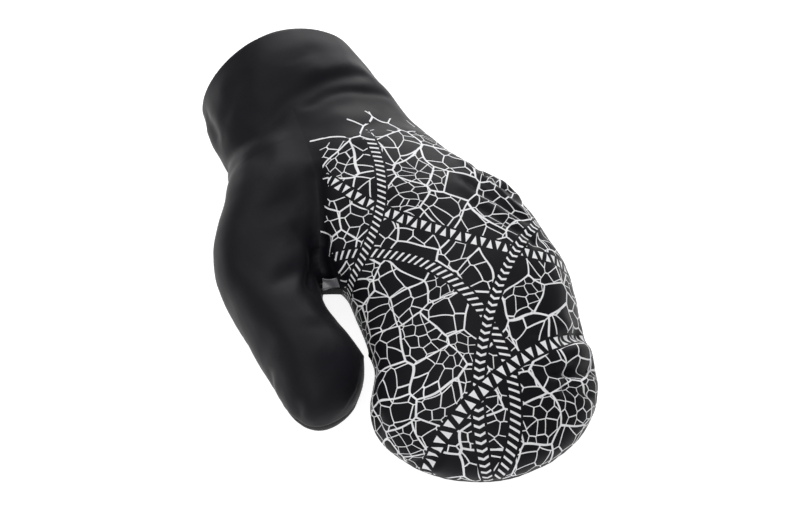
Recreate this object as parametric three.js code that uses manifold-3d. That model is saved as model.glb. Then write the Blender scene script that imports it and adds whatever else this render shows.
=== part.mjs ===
// Padded cycling mitten for the left hand, lying palm down, in millimetres.
// +Z is up, the fingers point along -Y, the thumb lies on the -X side and the
// cuff opens towards +Y. The origin is under the middle of the mitten, on the
// plane that the palm rests on.

import * as THREE from 'three';
import { mergeVertices } from 'three/addons/utils/BufferGeometryUtils.js';
import Module from 'manifold-3d';

const wasm = await Module();
wasm.setup();

// Driving dimensions
const WALL = 2.4;              // shell, padding and lining together
const SEAM_GAP = 0.3;          // between pieces that are sewn to each other
const WRIST_SEAM = 85;         // where the cuff meets the hand panels
const SIDE_SEAM = 14;          // height of the seam round the side, fingertips and thumb
const UNDERSIDE_SLACK = 4;     // how far the palm would sag if the floor were not there
const LARGEST_FOLD_SHARE = 0.3; // of the distance from a section's middle to its wall

// Hand and cuff, one row for each section across the mitten, from rim to fingers
const HAND = {
  columns: ['y', 'left', 'right', 'top', 'belt', 'crown'],
  rows: [
    [130.5, -52.0, 37.6, 67.2, 25, 1.85],
    [118, -53.0, 39.5, 66.5, 25, 1.9],
    [104, -53.5, 42.5, 63.5, 25, 2.0],
    [92, -53.5, 45.0, 60, 25, 2.1],
    [78, -52.0, 46.5, 58, 25, 2.1],
    [62, -49.0, 50.0, 58, 25, 2.1],
    [48, -45.0, 55.0, 59, 25, 2.1],
    [36, -41.0, 62.0, 59, 25, 2.1],
    [22, -37.0, 69.5, 59, 25, 2.1],
    [8, -33.5, 74.5, 59, 25, 2.1],
    [-2, -28.5, 77.5, 58, 25, 2.1],
    [-10, -25.4, 79.0, 57.5, 25, 2.1],
    [-24, -25.4, 80.0, 56, 24, 2.1],
    [-40, -26.2, 80.2, 54, 24, 2.1],
    [-55, -28.5, 77.5, 52, 23, 2.1],
    [-70, -37.2, 73.0, 49.5, 22, 2.1],
    [-84, -40.0, 70.0, 46.5, 21, 2.1],
    [-98, -36.5, 68.0, 43, 20, 2.1],
    [-126, -27.0, 66.0, 36, 18, 2.1],
  ],
};
const FINGER_END = { length: 42, blunt: 2.2 };

// Thumb, from inside the wrist to the thumb tip, with the same columns
const THUMB = {
  columns: ['y', 'left', 'right', 'top', 'belt', 'crown'],
  rows: [
    [110, -44.0, 8.0, 50, 24, 2.1],
    [98, -50.0, 8.0, 51, 24, 2.1],
    [86, -52.5, 7.0, 52, 24, 2.1],
    [74, -56.0, 5.0, 54, 24, 2.1],
    [60, -64.0, 1.0, 55, 24, 2.1],
    [46, -72.0, -5.0, 54, 24, 2.1],
    [36, -76.6, -11.0, 52, 24, 2.1],
    [24, -79.6, -18.0, 50, 23, 2.1],
    [12, -80.2, -25.0, 48, 23, 2.1],
    [3, -79.6, -31.0, 47, 22, 2.1],
    [-5, -78.8, -35.5, 46, 22, 2.1],
    [-14, -77.8, -36.5, 45, 22, 2.1],
    [-24, -77.0, -34.5, 44, 21, 2.1],
    [-36, -75.4, -31.4, 43, 21, 2.1],
    [-46, -74.0, -31.0, 41.5, 20, 2.1],
    [-67.5, -74.0, -38.0, 34, 17, 2.1],
  ],
};
const THUMB_END = { length: 24, blunt: 2.4 };

// Folds and dents: a crease runs between two points and presses the wall inwards
const FOLDS = {
  columns: ['fromX', 'fromY', 'fromZ', 'toX', 'toY', 'toZ', 'depth', 'width'],
  rows: [
    [-52, 86, 26, -26, 84, 55, 2.6, 6],      // wrist seam, thumb side
    [-26, 84, 55, 44, 85, 36, 1.8, 6],       // wrist seam, over the back
    [-8, 96, 61, 36, 96, 46, 2.4, 5],        // soft crease above the wrist seam
    [-53, 122, 28, -52, 103, 34, 2.0, 6],    // side of the cuff
    [56, 18, 50, 66, -6, 46, 3.2, 6],        // outer side of the knuckles
    [46, 6, 56, 72, -14, 42, 2.0, 5],        // second crease beside it
    [50, -80, 44, 70, -80, 30, 3.6, 6],      // little finger side
    [44, -102, 42, 62, -106, 28, 2.4, 6],    // below that dent
    [-36, -64, 30, -38, -88, 24, 1.4, 6],    // index finger side
    [-34, -108, 18, -20, -110, 34, 2.6, 6],  // corner of the fingertips
    [-52, -30, 43, -46, -56, 36, 1.6, 7],    // along the top of the thumb
  ],
};

// Plan of the seam between thumb and hand: down the valley, then between them
const THUMB_SEAM_LINE = {
  columns: ['x', 'y'],
  rows: [
    [-14, 90], [-16, 60], [-18, 45], [-22, 30], [-29, 14], [-32, 5], [-32, -8],
    [-29.3, -24], [-29, -40], [-31, -54], [-38, -66], [-60, -85],
  ],
};

// Web between thumb and fingers, and the satin piece above it. Both are strips in
// the fork, turned square to the gap by some degrees, and their side outlines start
// at its front.
const FORK = { x: -29.8, y: -5.4, turn: -23.4 };
const WEB = { halfLength: 9, depth: 3, bottom: 20.5, top: 26, edge: 1 };
const INSERT = { halfLength: 4.6, thickness: 1.2 };
const INSERT_PATH = {
  columns: ['back', 'z'],
  rows: [[0.4, 26.5], [1.6, 28.4], [2.6, 30.8], [3.0, 33.2]],
};

// Middle of the mitten in the tables above, which becomes the origin
const MIDDLE = { x: 0.1, y: 2.25 };

// Colours and finishes
const BLACK_SHELL = { color: 0x202024, roughness: 0.62, metalness: 0 };
const PRINTED_SHELL = { color: 0x2c2c31, roughness: 0.6, metalness: 0 };
const BLACK_PALM = { color: 0x18181a, roughness: 0.85, metalness: 0 };
const BLACK_WEB = { color: 0x111113, roughness: 0.8, metalness: 0 };
const GREY_SATIN = { color: 0x9a9a9e, roughness: 0.4, metalness: 0 };

// A row between the rows of a table, on a smooth curve through them
function sectionAt(table, y) {
  const rows = table.rows;
  let i = rows.findIndex((row) => row[0] <= y);
  if (i < 0) i = rows.length - 1;
  i = Math.max(1, i);
  const a = rows[i - 1];
  const b = rows[i];
  const before = rows[Math.max(0, i - 2)];
  const after = rows[Math.min(rows.length - 1, i + 1)];
  const t = (y - a[0]) / (b[0] - a[0]);
  const section = {};
  table.columns.forEach((name, c) => {
    const slopeA = (b[c] - before[c]) / (b[0] - before[0] || 1) * (b[0] - a[0]);
    const slopeB = (after[c] - a[c]) / (after[0] - a[0] || 1) * (b[0] - a[0]);
    section[name] = (2 * t ** 3 - 3 * t ** 2 + 1) * a[c] + (t ** 3 - 2 * t ** 2 + t) * slopeA
      + (-2 * t ** 3 + 3 * t ** 2) * b[c] + (t ** 3 - t ** 2) * slopeB;
  });
  return section;
}

// All sections of a tube: even steps along its table, then a rounded end that
// narrows over the last stretch of the table
function sectionsOf(table, end, { step, endSteps, inset, reach }) {
  const first = table.rows[0][0];
  const tip = table.rows[table.rows.length - 1][0] + inset;
  const length = end.length - inset;
  const roundFrom = tip + length;
  const count = Math.round((first - roundFrom) / step);
  const sections = [];
  for (let k = 0; k <= count; k += 1) {
    sections.push({ ...sectionAt(table, first + (roundFrom - first) * k / count), narrowing: 1 });
  }
  if (reach) {
    sections.unshift({ ...sections[0], y: first + reach });
  }
  for (let k = 1; k <= endSteps; k += 1) {
    const along = Math.sin(Math.PI / 2 * k / endSteps);
    sections.push({
      ...sectionAt(table, roundFrom - length * along),
      narrowing: Math.max(0, 1 - along ** end.blunt) ** (1 / end.blunt),
    });
  }
  return sections;
}

// How far the folds press a point inwards
function foldDepthAt(x, y, z) {
  const point = new THREE.Vector3(x, y, z);
  const nearest = new THREE.Vector3();
  return FOLDS.rows.reduce((sum, [fromX, fromY, fromZ, toX, toY, toZ, depth, width]) => {
    const crease = new THREE.Line3(
      new THREE.Vector3(fromX, fromY, fromZ), new THREE.Vector3(toX, toY, toZ));
    crease.closestPointToPoint(point, true, nearest);
    return sum + depth * Math.exp(-((nearest.distanceTo(point) / width) ** 2));
  }, 0);
}

// The outline of one section, as points round it, flat where it meets the floor
function ringOf(section, sides, inset) {
  const middle = (section.left + section.right) / 2;
  const halfWidth = ((section.right - section.left) / 2 - inset) * section.narrowing;
  const rise = (section.top - section.belt - inset) * section.narrowing;
  const drop = (section.belt + UNDERSIDE_SLACK - inset) * section.narrowing;
  const ring = [];
  for (let k = 0; k < sides; k += 1) {
    const angle = 2 * Math.PI * k / sides;
    const c = Math.cos(angle);
    const s = Math.sin(angle);
    const power = 2 / section.crown;
    const across = halfWidth * Math.sign(c) * Math.abs(c) ** power;
    const height = (s > 0 ? rise : drop) * Math.sign(s) * Math.abs(s) ** power;
    const fold = foldDepthAt(middle + across, section.y, section.belt + height);
    const fromMiddle = Math.max(Math.hypot(across, height), 1);
    const keep = 1 - Math.min(fold / fromMiddle, LARGEST_FOLD_SHARE);
    ring.push([
      middle + across * keep, section.y, Math.max(inset, section.belt + height * keep),
    ]);
  }
  return ring;
}

// A closed solid through a run of rings, with a fan at each end
function solidThrough(rings) {
  const sides = rings[0].length;
  const points = rings.flat();
  const faces = [];
  for (let r = 0; r + 1 < rings.length; r += 1) {
    for (let k = 0; k < sides; k += 1) {
      const a = r * sides + k;
      const b = r * sides + (k + 1) % sides;
      faces.push(a, b, a + sides, b, b + sides, a + sides);
    }
  }
  const middleOf = (ring) => [0, 1, 2].map((i) => ring.reduce((sum, p) => sum + p[i], 0) / sides);
  const firstMiddle = points.push(middleOf(rings[0])) - 1;
  const lastMiddle = points.push(middleOf(rings[rings.length - 1])) - 1;
  const lastStart = (rings.length - 1) * sides;
  for (let k = 0; k < sides; k += 1) {
    const next = (k + 1) % sides;
    faces.push(firstMiddle, next, k);
    faces.push(lastMiddle, lastStart + k, lastStart + next);
  }
  const geometry = new THREE.BufferGeometry();
  geometry.setAttribute('position', new THREE.Float32BufferAttribute(points.flat(), 3));
  geometry.setIndex(faces);
  return toSolid(geometry);
}

// From a closed geometry to a solid that can be joined and cut, and back
function toSolid(geometry) {
  const bare = geometry.clone();
  bare.deleteAttribute('normal');
  bare.deleteAttribute('uv');
  const merged = mergeVertices(bare, 1e-4);
  return new wasm.Manifold(new wasm.Mesh({
    numProp: 3,
    vertProperties: Float32Array.from(merged.attributes.position.array),
    triVerts: Uint32Array.from(merged.index.array),
  }));
}

function toGeometry(solid) {
  const mesh = solid.getMesh();
  const geometry = new THREE.BufferGeometry();
  geometry.setAttribute('position', new THREE.BufferAttribute(mesh.vertProperties, 3));
  geometry.setIndex(new THREE.BufferAttribute(mesh.triVerts, 1));
  geometry.computeVertexNormals();
  return geometry;
}

// Outer form and hollow of the hand and of the thumb
function formOf(table, end, inset, { sides, step, endSteps, reach }) {
  const sections = sectionsOf(table, end, { step, endSteps, inset, reach });
  return solidThrough(sections.map((section) => ringOf(section, sides, inset)));
}

const OUTER_HAND = { sides: 44, step: 6, endSteps: 7, reach: 0 };
const OUTER_THUMB = { sides: 28, step: 6, endSteps: 6, reach: 0 };
const INNER_HAND = { sides: 32, step: 9, endSteps: 6, reach: 5 };
const INNER_THUMB = { sides: 24, step: 9, endSteps: 5, reach: 0 };

const outerForm = formOf(HAND, FINGER_END, 0, OUTER_HAND)
  .add(formOf(THUMB, THUMB_END, 0, OUTER_THUMB));
const hollow = formOf(HAND, FINGER_END, WALL, INNER_HAND)
  .add(formOf(THUMB, THUMB_END, WALL, INNER_THUMB));
const wall = outerForm.subtract(hollow);

// Blocks that part the wall along its seams
const FAR = 200;

function blockBetween(low, high) {
  const size = high.map((value, i) => value - low[i]);
  const geometry = new THREE.BoxGeometry(...size);
  geometry.translate(...high.map((value, i) => (value + low[i]) / 2));
  return toSolid(geometry);
}

function above(height) {
  return blockBetween([-FAR, -FAR, height + SEAM_GAP / 2], [FAR, FAR, FAR]);
}

function below(height) {
  return blockBetween([-FAR, -FAR, -FAR], [FAR, FAR, height - SEAM_GAP / 2]);
}

const cuffSide = blockBetween([-FAR, WRIST_SEAM + SEAM_GAP / 2, -FAR], [FAR, FAR, FAR]);
const handSide = blockBetween([-FAR, -FAR, -FAR], [FAR, WRIST_SEAM - SEAM_GAP / 2, FAR]);

// Everything on one side of the thumb's seam line, as seen from above. The line is
// moved aside by a little over half the gap, because part of it runs at a slant.
function besideThumbSeam(shift, farCorners) {
  const line = THUMB_SEAM_LINE.rows.map(([x, y]) => new THREE.Vector2(x + shift, y));
  const outline = new THREE.Shape([...line, ...farCorners]);
  const geometry = new THREE.ExtrudeGeometry(outline, { depth: FAR, bevelEnabled: false });
  geometry.translate(0, 0, -FAR / 2);
  return toSolid(geometry);
}

const aside = 0.6 * SEAM_GAP;
const [seamStart] = THUMB_SEAM_LINE.rows;
const seamEnd = THUMB_SEAM_LINE.rows[THUMB_SEAM_LINE.rows.length - 1];
const fingersSide = besideThumbSeam(aside, [
  new THREE.Vector2(seamEnd[0], -FAR), new THREE.Vector2(FAR, -FAR),
  new THREE.Vector2(FAR, seamStart[1]),
]);
const thumbSide = besideThumbSeam(-aside, [
  new THREE.Vector2(-FAR, seamEnd[1]), new THREE.Vector2(-FAR, seamStart[1]),
]);
const handPart = wall.intersect(handSide).intersect(fingersSide);
const thumbPart = wall.intersect(handSide).intersect(thumbSide);

// A strip with a side outline, running across the fork, cut back clear of both
// thumb and fingers
const clearance = formOf(HAND, FINGER_END, -SEAM_GAP, OUTER_HAND)
  .add(formOf(THUMB, THUMB_END, -SEAM_GAP, OUTER_THUMB));

function stripAcross(sideOutline, halfLength) {
  const shape = new THREE.Shape(sideOutline.map(([back, z]) => new THREE.Vector2(back, z)));
  const geometry = new THREE.ExtrudeGeometry(shape, {
    depth: 2 * halfLength, bevelEnabled: false,
  });
  geometry.applyMatrix4(new THREE.Matrix4().makeBasis(
    new THREE.Vector3(0, 1, 0), new THREE.Vector3(0, 0, 1), new THREE.Vector3(1, 0, 0)));
  geometry.translate(-halfLength, 0, 0);
  geometry.rotateZ(THREE.MathUtils.degToRad(FORK.turn));
  geometry.translate(FORK.x, FORK.y, 0);
  return toSolid(geometry).subtract(clearance);
}

function webSolid() {
  const { depth, bottom, top, edge } = WEB;
  return stripAcross([
    [edge, bottom], [depth, bottom], [depth, top], [edge, top], [0, top - edge],
    [0, bottom + edge],
  ], WEB.halfLength);
}

function insertSolid() {
  const path = INSERT_PATH.rows;
  const upper = path.map(([back, z]) => [back, z + INSERT.thickness]);
  return stripAcross([...path, ...upper.reverse()], INSERT.halfLength);
}

// The assembled mitten
const mitten = new THREE.Group();
mitten.position.set(-MIDDLE.x, -MIDDLE.y, 0);

function addPiece(name, solid, finish) {
  const mesh = new THREE.Mesh(toGeometry(solid), new THREE.MeshStandardMaterial(finish));
  mesh.name = name;
  mitten.add(mesh);
}

addPiece('cuff', wall.intersect(cuffSide), BLACK_SHELL);
addPiece('back_panel', handPart.intersect(above(SIDE_SEAM)), PRINTED_SHELL);
addPiece('palm_panel', handPart.intersect(below(SIDE_SEAM)), BLACK_PALM);
addPiece('thumb_back', thumbPart.intersect(above(SIDE_SEAM)), BLACK_SHELL);
addPiece('thumb_palm', thumbPart.intersect(below(SIDE_SEAM)), BLACK_PALM);
addPiece('crotch_band', webSolid(), BLACK_WEB);
addPiece('crotch_insert', insertSolid(), GREY_SATIN);

export default mitten;
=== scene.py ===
# %% [markdown]
# A padded cycling mitten for the left hand lies palm down on a pale table.
# It is sewn from six pieces of black cloth: a cuff, a printed panel over the back
# of the hand, a palm, the two halves of the thumb and a web in the fork. A bit of
# grey satin shows above the web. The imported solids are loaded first. They stay as
# they are, and each sewn piece that is made below stands for one of them.

# %% The frame
import math

import bmesh
import bpy
import numpy as np
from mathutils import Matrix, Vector, noise
from mathutils.bvhtree import BVHTree
from mathutils.kdtree import KDTree


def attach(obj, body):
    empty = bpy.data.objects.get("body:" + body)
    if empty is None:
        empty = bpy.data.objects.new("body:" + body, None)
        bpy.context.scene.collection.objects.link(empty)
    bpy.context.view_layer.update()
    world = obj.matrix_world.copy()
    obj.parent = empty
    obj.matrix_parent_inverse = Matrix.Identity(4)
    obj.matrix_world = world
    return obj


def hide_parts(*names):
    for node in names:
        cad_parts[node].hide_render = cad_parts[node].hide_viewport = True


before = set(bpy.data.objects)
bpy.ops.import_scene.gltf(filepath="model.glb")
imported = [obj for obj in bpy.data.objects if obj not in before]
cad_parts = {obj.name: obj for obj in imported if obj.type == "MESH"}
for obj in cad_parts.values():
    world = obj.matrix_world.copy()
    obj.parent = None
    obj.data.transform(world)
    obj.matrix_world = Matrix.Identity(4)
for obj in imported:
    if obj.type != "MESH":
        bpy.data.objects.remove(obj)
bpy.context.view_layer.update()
print("solids:", sorted(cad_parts))

# %% [markdown]
# The mitten is measured in millimetres, across its width, along its length and up
# from the table. The tables count from a point near the wrist, and the finished
# object counts from under its own middle, so `place` moves one to the other.

# %% Measures
MM = 0.001
MIDDLE = np.array([0.1, 2.25, 0.0])
WRIST_SEAM = 85.0
SIDE_SEAM = 14.0
UNDERSIDE_SLACK = 4.0
RIM = 130.5


def place(points):
    """From millimetres in the tables to metres in the object."""
    return (np.asarray(points, float) - MIDDLE) * MM


def measured(points):
    """From metres in the object to millimetres in the tables."""
    return np.asarray(points, float) / MM + MIDDLE


print("cuff:", RIM - WRIST_SEAM, "mm long, side seam:", SIDE_SEAM, "mm above the table")

# %% [markdown]
# The camera looks from beyond the fingertips, a little from the thumb's side and
# steeply down. It stands 62 cm from the middle of the hand with a long lens, so
# the cuff at the far end looks only a little smaller than the fingers.

# %% Camera
LOOK_AT = Vector((6.2, -5.75, 30.0)) * MM
AZIMUTH = math.radians(-23.4)
ELEVATION = math.radians(55)
DISTANCE = 0.62

towards_camera = Vector((
    math.sin(AZIMUTH) * math.cos(ELEVATION),
    -math.cos(AZIMUTH) * math.cos(ELEVATION),
    math.sin(ELEVATION),
))
camera = bpy.data.objects.new("camera", bpy.data.cameras.new("camera"))
camera.data.lens = 57
camera.data.sensor_width = 36
camera.location = LOOK_AT + towards_camera * DISTANCE
camera.rotation_euler = (-towards_camera).to_track_quat("-Z", "Y").to_euler()
camera.data.clip_start = 0.01
bpy.context.scene.collection.objects.link(camera)
bpy.context.scene.camera = camera
print("camera at", [round(c, 3) for c in camera.location])

# %% [markdown]
# A mitten's form is a tube whose section changes from rim to fingertips. Each row
# gives where one section lies, its left and right edge, its top, the height of its
# widest point and how square it is: 2 is an ellipse, more is squarer. Rows in
# between come from a smooth curve, which keeps the table short.

# %% Sections of the hand and the thumb
HAND = [
    (130.5, -52.0, 37.6, 67.2, 25, 1.85),
    (118, -53.0, 39.5, 66.5, 25, 1.9),
    (104, -53.5, 42.5, 63.5, 25, 2.0),
    (92, -53.5, 45.0, 59, 25, 2.1),
    (78, -52.0, 46.5, 56.4, 25, 2.1),
    (62, -49.0, 50.0, 56.8, 25, 2.1),
    (48, -45.0, 55.0, 58.6, 25, 2.1),
    (36, -41.0, 62.0, 59, 25, 2.1),
    (22, -37.0, 69.5, 59, 25, 2.1),
    (8, -33.5, 74.5, 59, 25, 2.1),
    (-2, -28.5, 77.5, 58, 25, 2.1),
    (-10, -25.4, 79.0, 57.5, 25, 2.1),
    (-24, -25.4, 80.0, 56, 24, 2.1),
    (-40, -26.2, 80.2, 54, 24, 2.1),
    (-55, -28.5, 77.5, 52, 23, 2.1),
    (-70, -37.2, 73.0, 49.5, 22, 2.1),
    (-84, -40.0, 70.0, 46.5, 21, 2.1),
    (-98, -36.5, 68.0, 43, 20, 2.1),
    (-126, -27.0, 66.0, 36, 18, 2.1),
]
FINGER_END = {"length": 42, "blunt": 2.2}

THUMB = [
    (110, -44.0, 8.0, 50, 24, 2.1),
    (98, -50.0, 8.0, 51, 24, 2.1),
    (86, -52.5, 7.0, 52, 24, 2.1),
    (74, -56.0, 5.0, 54, 24, 2.1),
    (60, -64.0, 1.0, 55, 24, 2.1),
    (46, -72.0, -5.0, 54, 24, 2.1),
    (36, -76.6, -11.0, 52, 24, 2.1),
    (24, -79.6, -18.0, 50, 23, 2.1),
    (12, -80.2, -25.0, 48, 23, 2.1),
    (3, -79.6, -31.0, 47, 22, 2.1),
    (-5, -78.8, -35.5, 46, 22, 2.1),
    (-14, -77.8, -36.5, 45, 22, 2.1),
    (-24, -77.0, -34.5, 44, 21, 2.1),
    (-36, -75.4, -31.4, 43, 21, 2.1),
    (-46, -74.0, -31.0, 41.5, 20, 2.1),
    (-67.5, -74.0, -38.0, 34, 17, 2.1),
]
THUMB_END = {"length": 24, "blunt": 2.4}


def between_rows(rows, y):
    """A row between the rows of a table, on a smooth curve through them."""
    at = next((k for k, row in enumerate(rows) if row[0] <= y), len(rows) - 1)
    at = max(1, at)
    a, b = np.array(rows[at - 1]), np.array(rows[at])
    before = np.array(rows[max(0, at - 2)])
    after = np.array(rows[min(len(rows) - 1, at + 1)])
    t = (y - a[0]) / (b[0] - a[0])
    leaving = (b - before) / (b[0] - before[0]) * (b[0] - a[0])
    arriving = (after - a) / (after[0] - a[0]) * (b[0] - a[0])
    return (
        (2 * t**3 - 3 * t**2 + 1) * a
        + (t**3 - 2 * t**2 + t) * leaving
        + (-2 * t**3 + 3 * t**2) * b
        + (t**3 - t**2) * arriving
    )


SECTION_STEP = 3.0
END_SECTIONS = 16


def sections_of(rows, end, past_rim=0.0):
    """Sections with a narrowing factor, in even steps and then round the tip."""
    round_from = rows[-1][0] + end["length"]
    count = round((rows[0][0] - round_from) / SECTION_STEP)
    found = [
        (*between_rows(rows, rows[0][0] + (round_from - rows[0][0]) * k / count), 1.0)
        for k in range(count + 1)
    ]
    if past_rim:
        found.insert(0, (rows[0][0] + past_rim, *found[0][1:]))
    for k in range(1, END_SECTIONS + 1):
        along = math.sin(math.pi / 2 * k / END_SECTIONS)
        narrowing = max(0.0, 1 - along ** end["blunt"]) ** (1 / end["blunt"])
        found.append((*between_rows(rows, round_from - end["length"] * along), narrowing))
    return found


def power(value, exponent):
    """A power that keeps the sign, for squared-off ellipses."""
    return math.copysign(abs(value) ** exponent, value)


def on_section(section, angle):
    """The point of a section at an angle, flat where the section meets the table."""
    y, left, right, top, belt, crown, narrowing = section
    c, s = math.cos(angle), math.sin(angle)
    reach = top - belt if s > 0 else belt + UNDERSIDE_SLACK
    return (
        (left + right) / 2 + (right - left) / 2 * narrowing * power(c, 2 / crown),
        y,
        max(0.0, belt + reach * narrowing * power(s, 2 / crown)),
    )


print("rows:", len(HAND), "for the hand and", len(THUMB), "for the thumb")

# %% [markdown]
# Each tube starts as a plain cylinder. Its long edges are cut into as many rings as
# there are sections, and every ring is then drawn out to its own section. This gives
# even rows of quads that follow the form. The hand's tube runs a little past the rim,
# so that the rim can be cut clean later.

# %% Two closed tubes
PAST_RIM = 6.0


def tube(sections, sides):
    """A closed tube through the sections, as a bmesh."""
    bm = bmesh.new()
    bmesh.ops.create_cone(bm, cap_ends=True, segments=sides, radius1=1, radius2=1, depth=1)
    long_edges = [e for e in bm.edges if abs(e.verts[0].co.z - e.verts[1].co.z) > 0.5]
    bmesh.ops.subdivide_edges(bm, edges=long_edges, cuts=len(sections) - 2)
    for v in bm.verts:
        row = round((v.co.z + 0.5) * (len(sections) - 1))
        v.co = place(on_section(sections[row], math.atan2(v.co.y, v.co.x)))
    bmesh.ops.remove_doubles(bm, verts=bm.verts, dist=0.05 * MM)
    return bm


def new_object(name, bm):
    """Turns a bmesh into an object in the scene."""
    mesh = bpy.data.meshes.new(name)
    bm.to_mesh(mesh)
    bm.free()
    made = bpy.data.objects.new(name, mesh)
    bpy.context.scene.collection.objects.link(made)
    return made


hand_tube = new_object("hand_tube", tube(sections_of(HAND, FINGER_END, past_rim=PAST_RIM), 96))
tubes = tube(sections_of(THUMB, THUMB_END), 64)
tubes.from_mesh(hand_tube.data)
bpy.data.objects.remove(hand_tube)
skin = new_object("skin", tubes)
print("two tubes:", len(skin.data.vertices), "vertices")

# %% [markdown]
# A voxel remesh joins the two tubes into one skin of even quads, as one bag of cloth,
# and drops what lay inside. The upper valley between thumb and hand, and the place
# where the thumb leaves the wrist, come out as hard corners. So the skin is smoothed
# there until they run into each other, in three passes over ever smaller regions. Near
# the fork the valley stays steep, because there the cloth is drawn in deep.

# %% One skin
VOXEL = 2.0 * MM


def apply_modifiers(obj):
    """Bakes the modifiers into the mesh, as the Apply button does."""
    graph = bpy.context.evaluated_depsgraph_get()
    finished = bpy.data.meshes.new_from_object(obj.evaluated_get(graph))
    obj.modifiers.clear()
    obj.data = finished


def rows_of(items, key):
    """A vector from each item, such as each vertex of a mesh, one row each."""
    flat = np.empty(len(items) * 3, np.float32)
    items.foreach_get(key, flat)
    return flat.reshape(-1, 3).astype(float)


def points_of(mesh):
    """All vertex positions of a mesh."""
    return rows_of(mesh.vertices, "co")


def normals_of(mesh):
    """All vertex normals of a mesh."""
    return rows_of(mesh.vertex_normals, "vector")


def move_points(mesh, points):
    """Writes vertex positions back, and keeps every point above the table."""
    points[:, 2] = np.maximum(points[:, 2], 0.0)
    mesh.vertices.foreach_set("co", points.astype(np.float32).ravel())
    mesh.update()


remesh = skin.modifiers.new("one skin", "REMESH")
remesh.mode = "VOXEL"
remesh.voxel_size = VOXEL
apply_modifiers(skin)

# The seam between thumb and hand: how far along it lies, then how far across
THUMB_SEAM = [
    (90, -14), (60, -16), (45, -18), (30, -22), (14, -29), (5, -32), (-8, -32),
    (-24, -29.3), (-40, -29), (-54, -31), (-66, -38), (-85, -60),
]
seam_line = np.array([
    between_rows(THUMB_SEAM, y) for y in np.linspace(THUMB_SEAM[0][0], THUMB_SEAM[-1][0], 120)
])


def thumb_seam_x(y):
    """Where the seam between thumb and hand runs, seen from above."""
    return np.interp(y, seam_line[::-1, 0], seam_line[::-1, 1])


INSETS = (0, 4, 8)
VALLEY_REACH, VALLEY_FROM, VALLEY_TO = 16, 5, 100
ROOT_FROM, ROOT_TO, ROOT_INNER, ROOT_LOWEST = 40, 106, 12, 12
VALLEY_ROUNDS, ROOT_ROUNDS, LAST_ROUNDS = 8, 14, 3


def smooth_near(obj, chosen, rounds):
    """Smooths the chosen vertices of an object."""
    bm = bmesh.new()
    bm.from_mesh(obj.data)
    bm.verts.ensure_lookup_table()
    verts = [bm.verts[k] for k in np.flatnonzero(chosen)]
    for _ in range(rounds):
        bmesh.ops.smooth_vert(
            bm, verts=verts, factor=0.5, use_axis_x=True, use_axis_y=True, use_axis_z=True
        )
    bm.to_mesh(obj.data)
    bm.free()


spots = measured(points_of(skin.data))
x, y, z = spots.T
from_seam = np.abs(x - thumb_seam_x(y))
for inset in INSETS:
    valley = (from_seam < VALLEY_REACH - inset) & (y > VALLEY_FROM + 2 * inset) & (y < VALLEY_TO)
    smooth_near(skin, valley, VALLEY_ROUNDS)
    thumb_root = (y > ROOT_FROM + inset) & (y < ROOT_TO - inset)
    thumb_root &= (x < ROOT_INNER - inset) & (z > ROOT_LOWEST + inset)
    smooth_near(skin, thumb_root, ROOT_ROUNDS)
smooth_near(skin, np.ones(len(spots), bool), LAST_ROUNDS)
print("one skin:", len(skin.data.polygons), "faces")

# %% [markdown]
# The shell is padded, so the cloth stands a little proud between its seams, where the
# stitches hold it down. Cloth simulation makes that: the skin is pinned along the
# seams, the rim and the flat underside, and air pressure stands for the filling. The
# cloth may also grow a little, so that there is some to spare, as on a worn mitten.
# How far a point may move is capped, which keeps the measured form. Thin cloth would
# crumple now, but a padded shell can't, so the movement is averaged over neighbouring
# points until only the soft, broad swellings are left.

# %% Padding between the seams
PUFF_FRAMES = 16
PUFF_LIMIT = 1.6 * MM
EVEN_ROUNDS = 12
RIM_HELD_FROM = 126.0
# Full hold up to 2 mm from a seam, and none from 7 mm on
HOLD, HOLD_FADE = 1.4, 5.0
NO_SEAM = 99.0


def held_share(spots):
    """1 where stitches or the table hold the cloth, and 0 well away from them."""
    x, y, z = spots.T
    in_hand = y < WRIST_SEAM
    gaps = np.stack([
        np.abs(y - WRIST_SEAM),
        np.where(in_hand, np.abs(z - SIDE_SEAM), NO_SEAM),
        np.where(in_hand, np.abs(x - thumb_seam_x(y)), NO_SEAM),
        np.maximum(0, RIM_HELD_FROM - y),
        z * 2,
    ])
    return np.clip(HOLD - gaps.min(0) / HOLD_FADE, 0, 1)


def even_out(mesh, values):
    """Averages a value per vertex, such as a movement, with its neighbours' values."""
    ends = np.empty(len(mesh.edges) * 2, np.int32)
    mesh.edges.foreach_get("vertices", ends)
    a, b = ends.reshape(-1, 2).T
    total = len(values)
    neighbours = np.bincount(ends, minlength=total)
    for _ in range(EVEN_ROUNDS):
        for axis in range(3):
            column = values[:, axis]
            around = np.bincount(a, column[b], total) + np.bincount(b, column[a], total)
            values[:, axis] = (column + around / neighbours) / 2
    return values


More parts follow.
